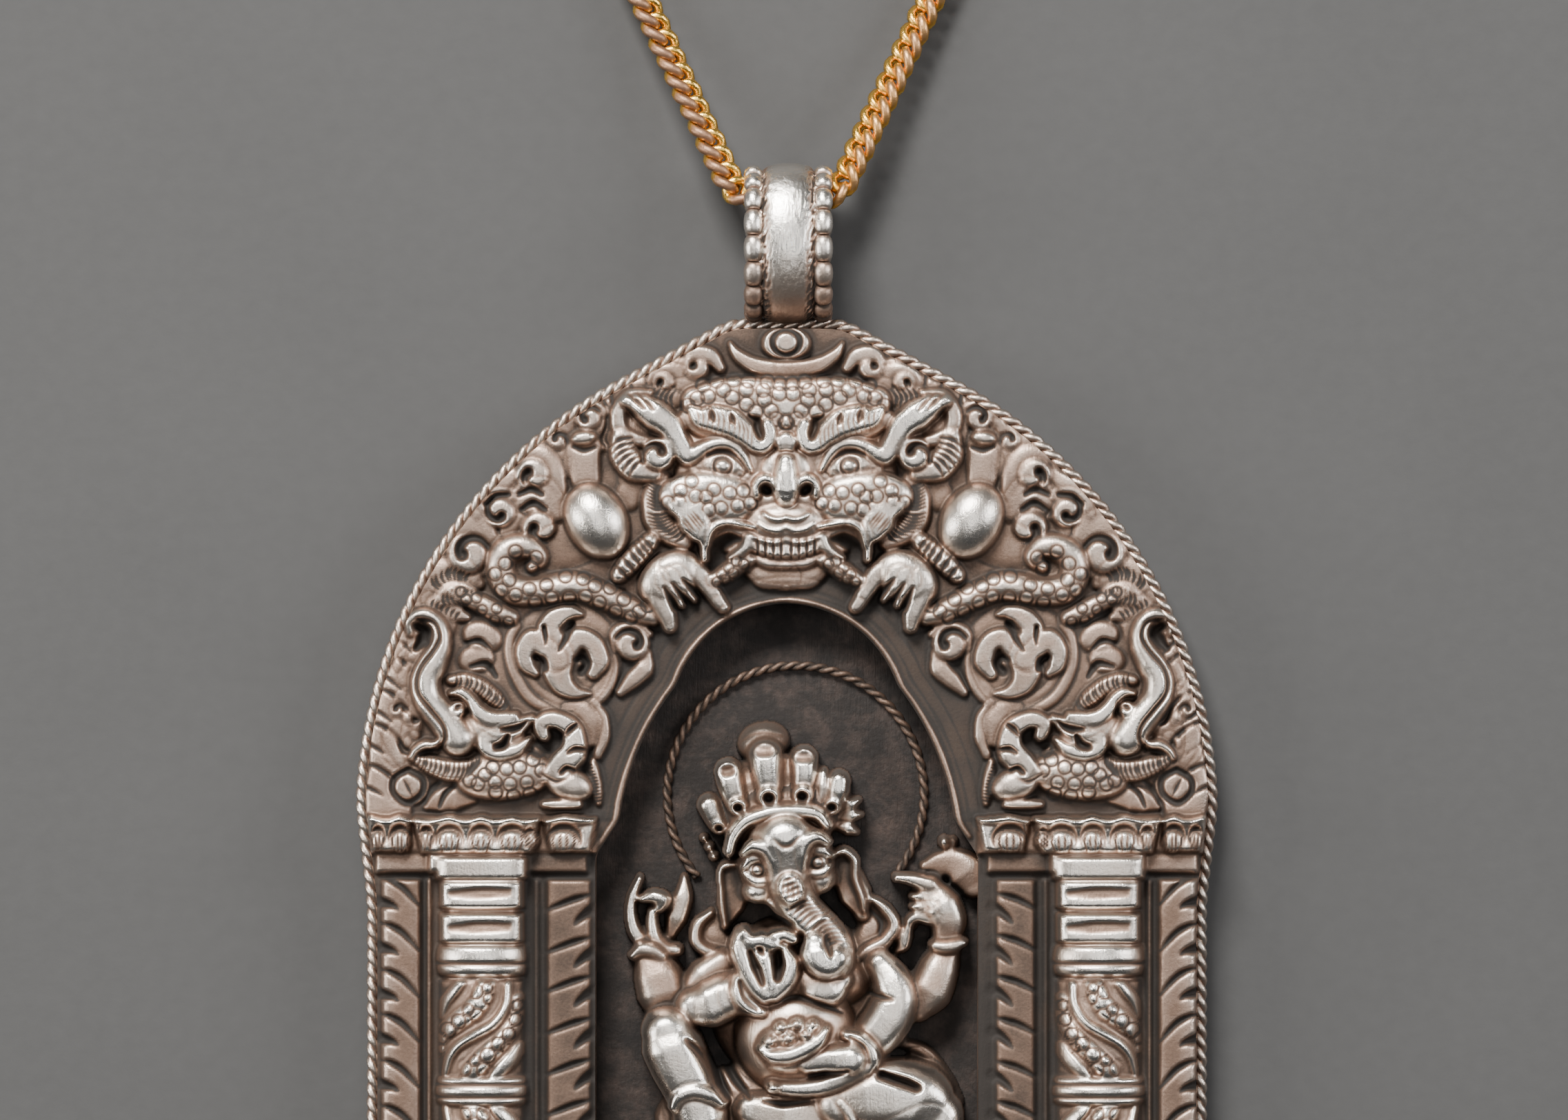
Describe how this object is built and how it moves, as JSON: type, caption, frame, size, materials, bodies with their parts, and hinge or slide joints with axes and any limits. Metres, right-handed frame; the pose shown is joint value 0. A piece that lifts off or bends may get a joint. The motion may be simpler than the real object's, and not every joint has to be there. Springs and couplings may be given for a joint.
{
  "type": "pendant necklace",
  "caption": "Arched silver shrine pendant with a chased frame, twisted border and seated elephant-headed figure, hung by a beaded bail on a gilt curb chain.",
  "frame": {"origin": "centre of the pendant's flat back, on the surface it lies on", "axes": "+Z out of the pendant's face, +Y from the pendant towards its bail and the clasp, +X to the viewer's right"},
  "size_m": [0.1014, 0.2668, 0.0075],
  "materials": {
    "silver": "polished and toned",
    "gilt": "worn gilt"
  },
  "bodies": {
    "root": {"case": "silver", "front_plate": "silver", "ganesha": "silver", "lotus_seat": "silver", "chain": "gilt", "clasp": "gilt"}
  },
  "joints": []
}
